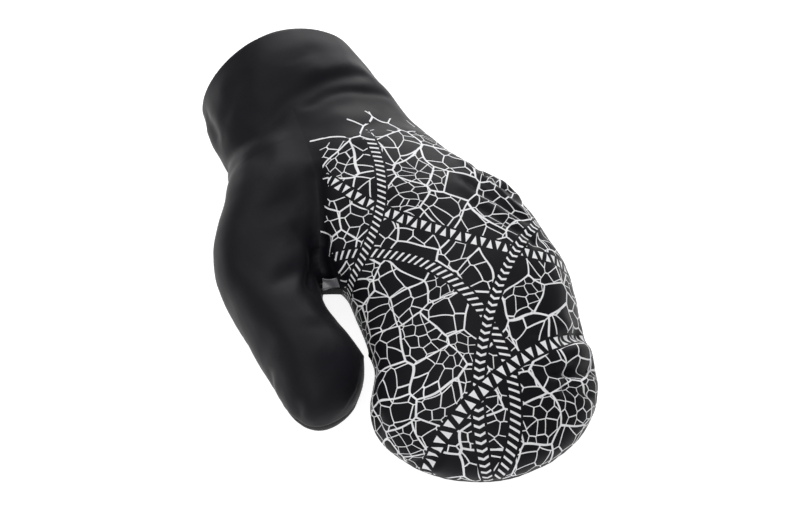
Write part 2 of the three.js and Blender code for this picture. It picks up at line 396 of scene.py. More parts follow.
def puff(obj):
    """Runs the cloth simulation and returns the skin's points after it."""
    before = points_of(obj.data)
    pins = obj.vertex_groups.new(name="stitched down")
    for index, weight in enumerate(held_share(measured(before))):
        pins.add([index], float(weight), "REPLACE")
    modifier = obj.modifiers.new("padding", "CLOTH")
    cloth = modifier.settings
    cloth.quality = 4
    cloth.mass = 0.2
    cloth.tension_stiffness = 12
    cloth.compression_stiffness = 12
    cloth.bending_stiffness = 2.0
    cloth.shrink_min = -0.015
    cloth.use_pressure = True
    cloth.uniform_pressure_force = 3
    cloth.vertex_group_mass = pins.name
    cloth.effector_weights.gravity = 0
    modifier.collision_settings.use_collision = False
    modifier.point_cache.frame_end = PUFF_FRAMES
    scene = bpy.context.scene
    for number in range(1, PUFF_FRAMES + 1):
        scene.frame_set(number)
    graph = bpy.context.evaluated_depsgraph_get()
    after = points_of(obj.evaluated_get(graph).data)
    obj.modifiers.clear()
    obj.vertex_groups.clear()
    scene.frame_set(1)
    moved = after - before
    size = np.linalg.norm(moved, axis=1, keepdims=True)
    moved = even_out(obj.data, moved / np.maximum(1, size / PUFF_LIMIT))
    farthest = np.linalg.norm(moved, axis=1).max() / MM
    print("padding moves the cloth by up to", round(farthest, 2), "mm")
    return before + moved


move_points(skin.data, puff(skin))

# %% [markdown]
# The skin is subdivided once, to about 1 mm, before the folds go in. Each fold is a
# smooth path that is laid on the surface. Points near it sink along their normal, and
# the cloth that was pushed aside rises on one side as a soft lip. A fold whose depth is
# negative is a ridge. All folds fade at both ends, and a low share of them stays there,
# so that one fold can run into another.

# %% Folds
subdivision = skin.modifiers.new("finer", "SUBSURF")
subdivision.levels = subdivision.render_levels = 1
apply_modifiers(skin)

# Path in table millimetres, depth, width and height of the lip
FOLDS = [
    # Main soft fold, from the thumb's side of the wrist up over the cuff
    ([(-54, 88, 14), (-52.7, 86.6, 24.7), (-39, 82.6, 48.9), (-26.8, 84, 55.3), (-15.3, 90, 57),
      (-6.5, 92.5, 58), (5.6, 95, 58), (17, 96, 56), (27.6, 97, 52), (34, 94, 46)], 1.3, 4.4, 0.3),
    # Thinner fold over the wrist seam
    ([(-14, 85, 57), (-3.6, 84, 56.8), (4.4, 86, 57), (15.4, 86.2, 55.6), (26.1, 85, 51.8),
      (40, 86, 38)], 0.9, 3.0, 0.0),
    # Side of the cuff
    ([(-53, 124, 26), (-51.7, 119.9, 31), (-51.4, 103, 34.3), (-49, 96, 38)], 1.4, 4.0, 0.5),
    # Pocket on the outer side of the knuckles, the raised edge behind it, and its creases
    ([(56, 24, 48), (61, 15, 46), (65, 6, 45), (69, -5, 43)], 3.8, 3.4, 0.4),
    ([(62, 20, 40), (66, 13, 40), (70, 5, 38), (73, -5, 36)], -2.4, 3.2, 0.0),
    ([(50, 31, 52), (56, 25.5, 47), (61, 24, 40), (66, 24, 30)], 2.2, 2.4, 0.4),
    ([(49, 28, 53), (52.5, 15, 53), (57, 3, 50.5), (63, -10, 48), (68, -20, 45)], -1.3, 2.0, 0.0),
    ([(53, 13, 53), (60, 12, 47), (68, 14, 40)], 1.3, 1.7, 0.7),
    ([(57, 4, 51), (64, 3, 45), (72, 5, 38)], 1.3, 1.7, 0.7),
    ([(44, 14, 57), (50, 1, 55), (57, -9, 52), (66, -22, 46)], 1.5, 2.6, 0.6),
    ([(41, -4, 57), (50, -15, 54.5), (58, -26, 50.5), (66, -36, 43)], 1.0, 2.4, 0.4),
    ([(72, -26, 36), (66, -30, 44), (56, -38, 50)], 1.2, 2.6, 0.5),
    # Little finger's side
    ([(48, -81, 42), (52.4, -81.7, 40.3), (64, -79.1, 33.4), (72, -78, 26)], 3.6, 3.6, 1.3),
    ([(36, -94, 43), (46, -97, 39), (55, -97, 35), (66, -96, 24)], 3.2, 2.7, 1.3),
    ([(38, -102, 40), (48, -105, 36), (60, -108, 24)], 1.7, 2.2, 0.8),
    ([(55, -92, 36), (47, -100, 39), (40, -112, 35)], 1.3, 2.2, 0.6),
    # Index finger's side
    ([(-33, -58, 30), (-34.4, -67.7, 27.7), (-38.3, -89.5, 25.2)], 1.5, 4.5, 0.4),
    # Pleats at the corner of the fingertips
    ([(-36, -104, 14), (-32.1, -105.7, 20.3), (-22, -108, 33)], 2.0, 2.6, 0.6),
    ([(-30, -112, 14), (-27.1, -110, 24), (-16, -108, 36)], 1.5, 2.2, 0.5),
    # Along the top of the thumb
    ([(-44, -24, 43), (-47, -42, 41.5), (-49, -60, 38)], 1.1, 9.0, 0.0),
    # Notches in the thumb's outer seam
    ([(-76, -38.6, 14), (-74.3, -38.6, 22.4), (-70, -37, 31)], 1.1, 3.0, 0.4),
    ([(-73, -61.5, 14), (-71.3, -61.5, 25.2), (-66, -58, 33)], 1.3, 3.0, 0.4),
    # The valley at the foot of the thumb, with a star of creases that run into it
    ([(-15, 50, 55), (-21.5, 32, 50), (-25, 21, 46), (-28.5, 13, 42), (-31.5, 5, 34), (-32, -6, 26)],
     3.0, 4.6, 0.0),
    ([(-27, 22, 45), (-30, 12, 40), (-34, 4, 36), (-38, -4, 36), (-42, -12, 38)], 1.6, 3.6, 0.0),
    ([(-33, 4, 33), (-38, 2, 40), (-44, 0, 44), (-52, -1, 46), (-60, 0, 46)], 1.2, 5.4, 0.0),
    ([(-33, 4, 33), (-38, 0, 37), (-42, -6, 38.5), (-46, -12, 40)], 1.9, 3.4, 0.0),
    ([(-33, 8, 33), (-28, 11, 41), (-22, 15, 48)], 1.0, 2.0, 0.0),
    ([(-31, 7, 32), (-34, 13, 40), (-37, 20, 46), (-40, 27, 49)], 0.9, 3.6, 0.0),
]
PATH_STEP = 2.0
NEARBY = 14.0
FADE, END_SHARE = 9.0, 0.15
# Where the lip lies and how wide it is, in widths of its fold
LIP_AT, LIP_WIDTH = 2.1, 1.2


def hug(path, surface):
    """Lays a smooth curve through the path's points on the skin, in even short steps."""
    path = np.array(path, float)
    laid = []
    for k in range(len(path) - 1):
        a, b = path[k], path[k + 1]
        before, after = path[max(0, k - 1)], path[min(len(path) - 1, k + 2)]
        steps = max(1, round(np.linalg.norm(b - a) / PATH_STEP))
        for t in np.arange(steps) / steps:
            bow = (2 * before - 5 * a + 4 * b - after) * t + (3 * a - before - 3 * b + after) * t**2
            laid.append(a + (b - before + bow) * t / 2)
    laid.append(path[-1])
    return np.array([surface.find_nearest(Vector(point))[0] for point in laid])


def along_path(spots, path):
    """Distance to a path, the offset and heading there, how far along, and its length."""
    nearest = np.full(len(spots), 1e9)
    across = np.zeros((len(spots), 3))
    heading = np.zeros((len(spots), 3))
    run = np.zeros(len(spots))
    start = 0.0
    for a, b in zip(path[:-1], path[1:]):
        length = np.linalg.norm(b - a)
        share = np.clip((spots - a) @ (b - a) / length**2, 0, 1)
        offset = spots - a - share[:, None] * (b - a)
        distance = np.linalg.norm(offset, axis=1)
        closer = distance < nearest
        nearest[closer] = distance[closer]
        across[closer] = offset[closer]
        heading[closer] = (b - a) / length
        run[closer] = start + share[closer] * length
        start += length
    return nearest, across, heading, run, start


def fold_shift(spots, normals, path, depth, width, lip):
    """How far one fold moves each point along its normal, in millimetres."""
    distance, across, heading, run, total = along_path(spots, path)
    side = np.sign((np.cross(heading, normals) * across).sum(1))
    fade = np.clip(np.minimum(run, total - run) / min(FADE, total / 2), 0, 1)
    fade = END_SHARE + (1 - END_SHARE) * fade * fade * (3 - 2 * fade)
    valley = -depth * np.exp(-((distance / width) ** 2))
    from_lip = (side * distance - LIP_AT * width) / (LIP_WIDTH * width)
    return fade * (valley + lip * np.exp(-(from_lip**2)))


# Size and height of the cloth's lumps, in millimetres
BROAD_LUMP, BROAD_HEIGHT = 34.0, 0.7
SMALL_LUMP, SMALL_HEIGHT = 11.0, 0.22
SMALL_START = Vector((7, 3, 5))
CALM_BELOW = 6.0


def settle_shift(spot):
    """Broad, low unevenness of cloth over padding, in millimetres."""
    broad = noise.noise(Vector(spot) / BROAD_LUMP)
    small = noise.noise(Vector(spot) / SMALL_LUMP + SMALL_START)
    return BROAD_HEIGHT * broad + SMALL_HEIGHT * small


spots = measured(points_of(skin.data))
normals = normals_of(skin.data)
surface = BVHTree.FromPolygons(spots.tolist(), [p.vertices[:] for p in skin.data.polygons])
shift = np.array([settle_shift(spot) for spot in spots])
for path, depth, width, lip in FOLDS:
    path = hug(path, surface)
    near = ((spots > path.min(0) - NEARBY) & (spots < path.max(0) + NEARBY)).all(1)
    shift[near] += fold_shift(spots[near], normals[near], path, depth, width, lip)
shift *= np.clip(spots[:, 2] / CALM_BELOW, 0, 1)
move_points(skin.data, place(spots + normals * shift[:, None]))
print("folds:", len(FOLDS), "deepest", round(shift.min(), 2), "mm")

# %% [markdown]
# Now the skin is parted along its seams, as the maker's cloth was. A plane cuts the
# rim, the wrist and the side seam. The thumb's seam is curved, so the skin is first
# sheared until that curve is a plane, cut, and sheared back. Cut points snap to
# vertices that are already close, because slivers would show as nicks in the light.
# Each point keeps the whole skin's outward direction. Two neighbouring panels share it
# along their seam, so that their edges and linings still meet there later.

# %% Cut along the seams
SNAP = 0.22 * MM

outwards = skin.data.attributes.new("outward", "FLOAT_VECTOR", "POINT")
outwards.data.foreach_set("vector", normals_of(skin.data).astype(np.float32).ravel())


def outward_of(mesh):
    """The whole skin's outward direction at each vertex, one row each."""
    found = rows_of(mesh.attributes["outward"].data, "vector")
    return found / np.maximum(np.linalg.norm(found, axis=1, keepdims=True), 1e-6)


def cut(bm, faces, point, normal, drop_outer=False):
    """Cuts faces by a plane, and puts the cut's points exactly on it."""
    geometry = list(faces)
    geometry += {e for f in faces for e in f.edges}
    geometry += {v for f in faces for v in f.verts}
    made = bmesh.ops.bisect_plane(
        bm, geom=geometry, dist=SNAP, plane_co=point, plane_no=normal, clear_outer=drop_outer
    )
    axis = Vector(normal)
    for v in made["geom_cut"]:
        if isinstance(v, bmesh.types.BMVert):
            v.co -= axis * (v.co - Vector(point)).dot(axis)


def seam_point(y):
    """The x of the thumb's seam in metres, for a y in metres."""
    return float(place((thumb_seam_x(y / MM + MIDDLE[1]), 0, 0))[0])


wrist_y = place((0, WRIST_SEAM, 0))[1]
bm = bmesh.new()
bm.from_mesh(skin.data)
cut(bm, list(bm.faces), place((0, RIM, 0)), (0, 1, 0), drop_outer=True)
cut(bm, list(bm.faces), (0, wrist_y, 0), (0, 1, 0))
hand_faces = [f for f in bm.faces if f.calc_center_median().y < wrist_y]
cut(bm, hand_faces, (0, 0, SIDE_SEAM * MM), (0, 0, 1))
hand_faces = [f for f in bm.faces if f.calc_center_median().y < wrist_y]
shears = {v: seam_point(v.co.y) for v in bm.verts}
for v, x in shears.items():
    v.co.x -= x
cut(bm, hand_faces, (0, 0, 0), (1, 0, 0))
for v in bm.verts:
    v.co.x += shears[v] if v in shears else seam_point(v.co.y)


def piece_at(centre):
    """The name of the sewn piece that a point of the skin belongs to."""
    x, y, z = measured(centre)
    if y > WRIST_SEAM:
        return "cuff"
    if x < thumb_seam_x(y):
        return "thumb_back" if z > SIDE_SEAM else "thumb_palm"
    return "back_panel" if z > SIDE_SEAM else "palm_panel"


owner = [piece_at(f.calc_center_median()) for f in bm.faces]
panels = {}
for name in ("cuff", "back_panel", "palm_panel", "thumb_back", "thumb_palm"):
    part = bm.copy()
    part.faces.ensure_lookup_table()
    others = [f for f, of in zip(part.faces, owner) if of != name]
    bmesh.ops.delete(part, geom=others, context="FACES")
    panels[name] = new_object("sewn_" + name, part)
    print(name, len(panels[name].data.polygons), "faces")
bm.free()
bpy.data.objects.remove(skin)

# %% [markdown]
# At a seam both cloths turn inwards and are sewn together out of sight. So each
# panel's edge is drawn down into the seam, and close to it the cloth gathers in
# small puckers where the thread pulls. The wrist and the top of the thumb are pulled
# smooth by the stretch of the cloth, so there the seam hardly shows. The cuff's open
# rim is different: it is a folded hem, so its edge rolls over smoothly instead.
# The printed panel also keeps how far each point lies from the thumb's seam, because
# the print stops a little short of it, and well short of it at the fork.

# %% Turned edges and hem
TUCK_SIDE, TUCK_VALLEY, TUCK_WIDTH = 0.6, 0.2, 1.1
PUCKER, PUCKER_REACH, PUCKER_SIZE = 0.22, 6.0, 3.4
# How far along the hand the seams are drawn in, and how far up they count as side seams
PULL_TO, PULL_FADE = 60.0, 35.0
SIDE_TO, SIDE_FADE = 12.0, 8.0
HEM_ROLL = 1.7
THUMB_MARGIN = 3.0
FORK_Y, FORK_REACH, FORK_MARGIN = -4.0, 13.0, 9.0
TOP_SEAM_ABOVE = 20.0 * MM


def edge_distance(mesh, counts):
    """Distance in millimetres from each vertex to the nearest counted edge point."""
    bm = bmesh.new()
    bm.from_mesh(mesh)
    rim = [v.co.copy() for v in bm.verts if v.is_boundary and counts(v.co)]
    bm.free()
    tree = KDTree(len(rim))
    for index, point in enumerate(rim):
        tree.insert(point, index)
    tree.balance()
    return np.array([tree.find(v.co)[2] for v in mesh.vertices]) / MM


def tuck_seams(obj):
    """Draws the sewn edges of a panel inwards, with puckers beside them."""
    rim_y = place((0, RIM - 1, 0))[1]
    distance = edge_distance(obj.data, lambda co: co.y < rim_y)
    points, normals = points_of(obj.data), outward_of(obj.data)
    spots = measured(points)
    ripple = np.array([noise.noise(Vector(spot) / PUCKER_SIZE) for spot in spots])
    pull = np.clip((PULL_TO - spots[:, 1]) / PULL_FADE, 0, 1)
    at_side = np.clip((SIDE_SEAM + SIDE_TO - spots[:, 2]) / SIDE_FADE, 0, 1)
    tuck = TUCK_VALLEY + (TUCK_SIDE - TUCK_VALLEY) * at_side
    depth = tuck * pull * np.exp(-((distance / TUCK_WIDTH) ** 2))
    depth += PUCKER * pull * ripple * np.exp(-((distance / PUCKER_REACH) ** 2))
    move_points(obj.data, points - normals * depth[:, None] * MM)


def roll_hem(obj):
    """Rounds the open rim of the cuff."""
    points, normals = points_of(obj.data), normals_of(obj.data)
    near = np.clip(HEM_ROLL - (RIM - measured(points)[:, 1]), 0, HEM_ROLL)
    inwards = HEM_ROLL - np.sqrt(HEM_ROLL**2 - near**2)
    normals[:, 1] = 0
    normals /= np.linalg.norm(normals, axis=1, keepdims=True)
    move_points(obj.data, points - normals * inwards[:, None] * MM)


for panel in panels.values():
    tuck_seams(panel)
roll_hem(panels["cuff"])

printed = panels["back_panel"].data
wrist_front = place((0, WRIST_SEAM - 1, 0))[1]


def on_thumb_seam(co):
    """Whether an edge point of the printed panel lies on the thumb's seam."""
    return co.y < wrist_front and co.x < seam_point(co.y) + MM and co.z > TOP_SEAM_ABOVE


from_thumb = edge_distance(printed, on_thumb_seam)
from_fork = (measured(points_of(printed))[:, 1] - FORK_Y) / FORK_REACH
print_room = from_thumb - THUMB_MARGIN - FORK_MARGIN * np.exp(-(from_fork**2))
printed.attributes.new("print_room", "FLOAT", "POINT").data.foreach_set("value", print_room)
print("room for the print: up to", round(print_room.max()), "mm from the thumb's seam")

# %% [markdown]
# The print was made on flat cloth, so its pattern has to lie in the flat shape of
# the panel. Unwrapping finds that shape: it spreads the panel out with as little
# stretch as it can. The map is then turned and scaled until it reads in
# decimetres of cloth, with the fingers pointing down.

# %% The flat shape of the printed panel
DECIMETRE = 0.1
FACING_UP = 0.75


def flatten(obj):
    """Unwraps a panel and fits the map to the panel as seen from above."""
    for other in bpy.context.selected_objects:
        other.select_set(False)
    obj.select_set(True)
    bpy.context.view_layer.objects.active = obj
    obj.data.uv_layers.new(name="flat_cloth")
    bpy.ops.object.mode_set(mode="EDIT")
    bpy.ops.mesh.select_all(action="SELECT")
    bpy.ops.uv.unwrap(method="MINIMUM_STRETCH", iterations=3, margin=0)
    bpy.ops.object.mode_set(mode="OBJECT")
    mesh = obj.data
    layer = mesh.uv_layers["flat_cloth"].uv
    uv = np.empty(len(layer) * 2, np.float32)
    layer.foreach_get("vector", uv)
    corner = np.empty(len(mesh.loops), np.int32)
    mesh.loops.foreach_get("vertex_index", corner)
    flat = uv.reshape(-1, 2) @ np.array([1, 1j])
    above = points_of(mesh)[corner, :2] @ np.array([1, 1j]) / DECIMETRE
    on_top = normals_of(mesh)[corner, 2] > FACING_UP
    flat_middle, top_middle = flat[on_top].mean(), above[on_top].mean()
    turn = np.vdot(flat[on_top] - flat_middle, above[on_top] - top_middle)
    turn /= np.vdot(flat[on_top] - flat_middle, flat[on_top] - flat_middle)
    fitted = (flat - flat_middle) * turn + top_middle
    fitted = np.stack([fitted.real, fitted.imag], 1)
    layer.foreach_set("vector", fitted.astype(np.float32).ravel())
    print("flat cloth, in decimetres:", np.ptp(fitted, axis=0).round(2))


flatten(panels["back_panel"])

# %% [markdown]
# The web in the fork is a narrow tape, folded double with the fold at its straight
# lower edge. It starts as a grid, which is bent round that fold and drawn out between
# thumb and fingers. Above it lies a bit of grey satin lining, folded over on itself.

# %% Web and satin
FORK_AT = (-29.8, -5.4)
FORK_TURN = math.radians(-23.4)
WEB_HALF, WEB_BOW = 9.0, 0.5
WEB_BOTTOM, WEB_TOP, WEB_DEPTH = 20.5, 26.0, 3.0
WEB_THICKNESS, SATIN_THICKNESS = 0.9, 0.35
SATIN_HALF = 5.2
# How far back in the fork and how high each step of the satin lies
SATIN_PATH = [(0.6, 25.4), (0.2, 26.8), (1.0, 28.0), (2.0, 29.2), (2.7, 30.4), (3.0, 31.4)]
CURL_BACK, CURL_DOWN, SATIN_RIPPLE = 1.6, 1.2, 0.7


def in_fork(across, back, z):
    """A point given across the fork and back into it, in object metres."""
    x = FORK_AT[0] + across * math.cos(FORK_TURN) - back * math.sin(FORK_TURN)
    y = FORK_AT[1] + across * math.sin(FORK_TURN) + back * math.cos(FORK_TURN)
    return place((x, y, z))


def web_point(u, v):
    """The tape: down its back, round the fold and up its front."""
    half = WEB_DEPTH / 2
    straight = WEB_TOP - WEB_BOTTOM - half
    length = 2 * straight + math.pi * half
    run = (v + 1) / 2 * length
    if run < straight:
        back, z = WEB_DEPTH, WEB_TOP - run
    elif run < straight + math.pi * half:
        turned = (run - straight) / half
        back, z = half + half * math.cos(turned), WEB_BOTTOM + half - half * math.sin(turned)
    else:
        back, z = 0, WEB_BOTTOM + half + run - straight - math.pi * half
    return in_fork(WEB_HALF * u, back + WEB_BOW * (1 - u * u), z)


def satin_point(u, v):
    """The satin: up the fork in a soft curve, with its right end curled over."""
    run = (v + 1) / 2 * (len(SATIN_PATH) - 1)
    back = np.interp(run, range(len(SATIN_PATH)), [p[0] for p in SATIN_PATH])
    z = np.interp(run, range(len(SATIN_PATH)), [p[1] for p in SATIN_PATH])
    curl = max(0.0, u) ** 2
    back += CURL_BACK * curl - SATIN_RIPPLE * math.sin(2.6 * v + 2.2 * u)
    return in_fork(SATIN_HALF * u, back, z - CURL_DOWN * curl)


def strip(name, columns, rows, shape, thickness):
    """A strip of cloth: a grid that is bent to shape and given its thickness."""
    bm = bmesh.new()
    bmesh.ops.create_grid(bm, x_segments=columns, y_segments=rows, size=1)
    for v in bm.verts:
        v.co = shape(v.co.x, v.co.y)
    made = new_object(name, bm)
    for polygon in made.data.polygons:
        polygon.use_smooth = True
    wall = made.modifiers.new("cloth", "SOLIDIFY")
    wall.thickness = thickness * MM
    wall.offset = 0
    rounding = made.modifiers.new("rounding", "SUBSURF")
    rounding.levels = rounding.render_levels = 1
    apply_modifiers(made)
    return made


web = strip("fork_web", 24, 24, web_point, WEB_THICKNESS)
satin = strip("fork_satin", 20, 20, satin_point, SATIN_THICKNESS)
print("web and satin:", len(web.data.polygons), len(satin.data.polygons))

# %% [markdown]
# All finishes are node materials. Small helpers keep them readable: `node` adds a node,
# sets its options and fills or links its inputs, `maths` does one step of arithmetic,
# and the others stand for what every cloth here needs: mixed colours, grain and bumps.

# %% Helpers for materials
def node(tree, kind, inputs=None, **options):
    """Adds a shader node and sets or links its inputs by name."""
    made = tree.nodes.new("ShaderNode" + kind)
    for key, value in options.items():
        setattr(made, key, value)
    for key, value in (inputs or {}).items():
        if isinstance(value, bpy.types.NodeSocket):
            tree.links.new(value, made.inputs[key])
        else:
            made.inputs[key].default_value = value
    return made


def maths(tree, operation, *values):
    """One step of arithmetic between sockets or numbers."""
    made = tree.nodes.new("ShaderNodeMath")
    made.operation = operation
    for socket, value in zip(made.inputs, values):
        if isinstance(value, bpy.types.NodeSocket):
            tree.links.new(value, socket)
        else:
            socket.default_value = value
    return made.outputs[0]


def blend_colour(tree, share, first, second):
    """Mixes two colours by a share."""
    made = node(tree, "Mix", data_type="RGBA")
    for index, value in ((0, share), (6, first), (7, second)):
        if isinstance(value, bpy.types.NodeSocket):
            tree.links.new(value, made.inputs[index])
        else:
            made.inputs[index].default_value = value
    return made.outputs[2]


def grain(tree, size, detail=2.0, roughness=0.5):
    """Noise whose lumps measure about this many millimetres, from 0 to 1."""
    where = node(tree, "TexCoord").outputs["Object"]
    made = node(tree, "TexNoise", {"Vector": where, "Scale": 1000 / size, "Detail": detail,
                                   "Roughness": roughness})
    return made.outputs["Fac"]


def new_material(name):
    """An empty node material, and its node tree."""
    made = bpy.data.materials.new(name)
    made.use_nodes = True
    made.node_tree.nodes.clear()
    return made, made.node_tree


def finish(material, **inputs):
    """Adds the surface shader of a material and links it to the output."""
    tree = material.node_tree
    named = {key.replace("_", " "): value for key, value in inputs.items()}
    shader = node(tree, "BsdfPrincipled", named)
    node(tree, "OutputMaterial", {"Surface": shader.outputs[0]})
    print("finish:", material.name)
    return material


def bump(tree, height, depth, after=None):
    """Turns a height from 0 to 1 into bumps of this many millimetres."""
    inputs = {"Height": height, "Distance": depth * MM}
    if after is not None:
        inputs["Normal"] = after
    return node(tree, "Bump", inputs).outputs["Normal"]


# %% [markdown]
# The shell is a black stretch cloth with a short brushed face. It has a fine twill,
# which only a close look shows, a soft sheen at a slant, and a little unevenness in
# colour and gloss where hands and handlebar have rubbed it.

# %% Black stretch shell
BLACK = (0.0036, 0.0035, 0.0054, 1)
RUBBED = (0.0066, 0.0064, 0.0096, 1)
SHELL_GLOSS = {"Specular_IOR_Level": 0.13, "Sheen_Weight": 0.02, "Sheen_Roughness": 0.4}


def twill(tree):
    """Fine diagonal ribs a little under 0.5 mm apart, from 0 to 1."""
    where = node(tree, "TexCoord").outputs["Object"]
    ribs = node(tree, "TexWave", {"Vector": where, "Scale": 800.0, "Distortion": 1.2,
                                  "Detail": 1.0, "Detail Scale": 2.0},
                wave_type="BANDS", bands_direction="DIAGONAL")
    return ribs.outputs["Fac"]


def shell_parts(tree):
    """Colour, roughness and normal of the shell cloth."""
    worn = grain(tree, 26, detail=3)
    fine = grain(tree, 0.9)
    colour = blend_colour(tree, maths(tree, "MULTIPLY_ADD", worn, 0.9, -0.05), BLACK, RUBBED)
    rough = maths(tree, "MULTIPLY_ADD", worn, 0.16, 0.42)
    normal = bump(tree, twill(tree), 0.012)
    normal = bump(tree, fine, 0.015, after=normal)
    normal = bump(tree, grain(tree, 9), 0.08, after=normal)
    return colour, rough, normal


def shell_material():
    made, tree = new_material("black_stretch_shell")
    colour, rough, normal = shell_parts(tree)
    return finish(made, Base_Color=colour, Roughness=rough, Normal=normal, **SHELL_GLOSS)


black_shell = shell_material()

# %% [markdown]
# The print is a pale film on the same cloth: a net of cracks, as in an old glaze.
# Thick cracks part it into fields of about 17 mm. A field holds finer cracks of one
# of two sizes, or none. Cell noise gives each net, because its distance to a cell's
# edge is the same all along a crack, so the line keeps its width. The same noise also
# gives each field a number of its own, which picks the net inside it.

# %% Cracks
FIELD = 17.0
FIELD_LINE = 0.85
# Size of the cells, width of the lines, lowest and highest number of their fields
FINE_NETS = [(8.2, 0.54, 0.12, 0.62), (5.2, 0.42, 0.62, 1.0)]
FINE_FROM = 0.5


def cells(tree, where, size, feature):
    """Cell noise on the flat cloth, with cells of this many millimetres."""
    return node(tree, "TexVoronoi", {"Vector": where, "Scale": 100 / size, "Randomness": 0.85},
                voronoi_dimensions="2D", feature=feature)


def net(tree, where, size, line):
    """1 on the lines between the cells, which are this many millimetres wide."""
    distance = cells(tree, where, size, "DISTANCE_TO_EDGE").outputs["Distance"]
    return maths(tree, "LESS_THAN", distance, line / 2 / size)


def cracks(tree, where, fade):
    """All cracks. The fade is 1 where the print is full, and falls to 0 at its end."""
    field = cells(tree, where, FIELD, "F1").outputs["Color"]
    number = node(tree, "SeparateColor", {0: field}).outputs[0]
    lines = maths(tree, "MULTIPLY", net(tree, where, FIELD, FIELD_LINE),
                  maths(tree, "GREATER_THAN", fade, 0.0))
    for size, line, lowest, highest in FINE_NETS:
        here = maths(tree, "GREATER_THAN", number, lowest)
        here = maths(tree, "MULTIPLY", here, maths(tree, "LESS_THAN", number, highest))
        here = maths(tree, "MULTIPLY", here, maths(tree, "GREATER_THAN", fade, FINE_FROM))
        fine = maths(tree, "MULTIPLY", net(tree, where, size, line), here)
        lines = maths(tree, "MAXIMUM", lines, fine)
    return lines


print("nets of cracks:", 1 + len(FINE_NETS))

# %% [markdown]
# Curved bands cross the net. They are left free of cracks and hold a row of small
# marks: slanted bars, chevrons, or triangles that point up and down in turn. Each band
# is an arc of a large circle on the flat cloth. The angle round its middle counts the
# marks, and the distance from the arc says where a point lies across the band.

# %% Bands of marks
# In cloth millimetres: the circle's middle and radius, half the marks' height, spacing
BANDS = [
    ("triangles", 96, 64, 112, 2.3, 3.6),
    ("bars", -64, -84, 88, 2.2, 3.2),
    ("chevrons", 122, -128, 118, 2.1, 3.4),
    ("bars", -78, 66, 96, 2.0, 3.0),
    ("triangles", 58, -178, 96, 2.4, 3.8),
]
BAND_MARGIN = 1.0
# In spacings: half a bar's width, half a triangle's at its middle, and how far bars lean
BAR_HALF, TRIANGLE_HALF, LEAN = 0.17, 0.2, 0.5


def band(tree, where, kind, x, y, radius, half, spacing):
    """The clear strip along an arc, and the marks in it, each 0 or 1."""
    offset = node(tree, "VectorMath", {0: where, 1: (x / 100, y / 100, 0)}, operation="SUBTRACT")
    parts = node(tree, "SeparateXYZ", {0: offset.outputs[0]})
    length = node(tree, "VectorMath", {0: offset.outputs[0]}, operation="LENGTH")
    away = maths(tree, "MULTIPLY_ADD", length.outputs["Value"], 100, -radius)
    gap = maths(tree, "ABSOLUTE", away)
    clear = maths(tree, "LESS_THAN", gap, half + BAND_MARGIN)
    angle = maths(tree, "ARCTAN2", parts.outputs["Y"], parts.outputs["X"])
    count = 2 * round(math.pi * radius / spacing)
    turns = maths(tree, "MULTIPLY", angle, count / (2 * math.pi))
    if kind == "triangles":
        turned = maths(tree, "FLOORED_MODULO", maths(tree, "FLOOR", turns), 2)
        side = maths(tree, "MULTIPLY_ADD", turned, 2, -1)
        reach = maths(tree, "MULTIPLY_ADD", maths(tree, "MULTIPLY", away, side),
                      TRIANGLE_HALF / half, TRIANGLE_HALF)
    else:
        turns = maths(tree, "MULTIPLY_ADD", away if kind == "bars" else gap, LEAN / spacing, turns)
        reach = BAR_HALF
    from_middle = maths(tree, "ABSOLUTE", maths(tree, "SUBTRACT", maths(tree, "FRACT", turns), 0.5))
    marks = maths(tree, "LESS_THAN", from_middle, reach)
    return clear, maths(tree, "MULTIPLY", marks, maths(tree, "LESS_THAN", gap, half))


print("bands of marks:", [kind for kind, *_ in BANDS])

# %% [markdown]
# Towards the wrist and the thumb's seam the print thins out. Its end at the wrist is
# a shallow curve on the flat cloth, and two noises push that curve up and down, so the
# cracks stop in loose ends. Slow noise also bends the whole net a little. The bands lie
# over it unbent. The cloth under the print is a deeper black than the plain panels.

# %% The printed cloth
DEEP_BLACK = (0.0003, 0.0002, 0.0018, 1)
PRINTED_DEPTH = 0.6
FILM_SHADES = (0.56, 0.56, 0.58, 1), (0.78, 0.78, 0.79, 1)
FILM_HEIGHT = 0.03
PRINT_TOP = (17.0, 65.0)
PRINT_ROUNDING = 0.012
PRINT_FADE, SEAM_STEEPNESS = 16.0, 3
# Scale of each noise, and how far it pushes the print's end in millimetres
LOOSE_ENDS = ((5.0, 26.0), (16.0, 16.0))
NET_BEND_SCALE, NET_BEND = 3.2, 0.12
BANDS_FROM = 0.6


def fade_out(tree, where):
    """1 where the print is full, 0 where its last loose ends stop."""
    parts = node(tree, "SeparateXYZ", {0: where})
    x = maths(tree, "MULTIPLY_ADD", parts.outputs["X"], 100, -PRINT_TOP[0])
    y = maths(tree, "MULTIPLY_ADD", parts.outputs["Y"], 100, -PRINT_TOP[1])
    below = maths(tree, "MULTIPLY_ADD", maths(tree, "MULTIPLY", x, x), -PRINT_ROUNDING,
                  maths(tree, "MULTIPLY", y, -1))
    room = node(tree, "Attribute", attribute_name="print_room").outputs["Fac"]
    below = maths(tree, "MINIMUM", below, maths(tree, "MULTIPLY", room, SEAM_STEEPNESS))
    for scale, push in LOOSE_ENDS:
        loose = node(tree, "TexNoise", {"Vector": where, "Scale": scale, "Detail": 0.0},
                     noise_dimensions="2D").outputs["Fac"]
        below = maths(tree, "MULTIPLY_ADD", loose, push, maths(tree, "ADD", below, -push / 2))
    return maths(tree, "DIVIDE", below, PRINT_FADE)


